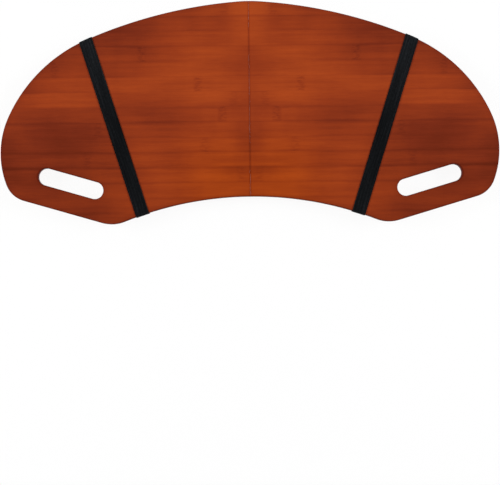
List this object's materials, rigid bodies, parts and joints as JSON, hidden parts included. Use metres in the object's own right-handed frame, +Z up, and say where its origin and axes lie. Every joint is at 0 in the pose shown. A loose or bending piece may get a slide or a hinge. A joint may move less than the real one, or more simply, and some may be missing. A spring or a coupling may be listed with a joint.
{
  "type": "folding lap desk",
  "caption": "Curved wooden lap desk that folds in half on butt hinges, with a hand slot and a black elastic strap on each board.",
  "frame": {"origin": "on the fold line, midway between the front and back edges, on the surface that the hinge barrels stand on", "axes": "+X across the desk to the right-hand board, +Y from the user's side to the far side, +Z up out of the work face"},
  "size_m": [0.7304, 0.3248, 0.015],
  "materials": {
    "stained_bamboo": "gloss lacquer over red-brown stain",
    "elastic_webbing": "matt ribbed weave",
    "sewing_thread": "matt twisted thread",
    "nickel_hinge": "bright nickel plate",
    "screw_steel": "bright zinc plate"
  },
  "bodies": {
    "left_half": {"left_board": "stained_bamboo", "left_strap": "elastic_webbing", "left_strap_thread": "sewing_thread", "back_hinge_left_leaf": "nickel_hinge", "back_hinge_left_screw_1": "screw_steel", "back_hinge_left_screw_2": "screw_steel", "front_hinge_left_leaf": "nickel_hinge", "front_hinge_left_screw_1": "screw_steel", "front_hinge_left_screw_2": "screw_steel", "back_hinge_pin": "nickel_hinge", "front_hinge_pin": "nickel_hinge"},
    "right_half": {"right_board": "stained_bamboo", "right_strap": "elastic_webbing", "right_strap_thread": "sewing_thread", "back_hinge_right_leaf": "nickel_hinge", "back_hinge_right_screw_1": "screw_steel", "back_hinge_right_screw_2": "screw_steel", "front_hinge_right_leaf": "nickel_hinge", "front_hinge_right_screw_1": "screw_steel", "front_hinge_right_screw_2": "screw_steel"}
  },
  "joints": [
    {"name": "fold", "type": "hinge", "parent": "left_half", "child": "right_half", "pos_m": [0, 0, 0.00275], "axis": [0, 1, 0], "range_deg": [0, 180]}
  ]
}
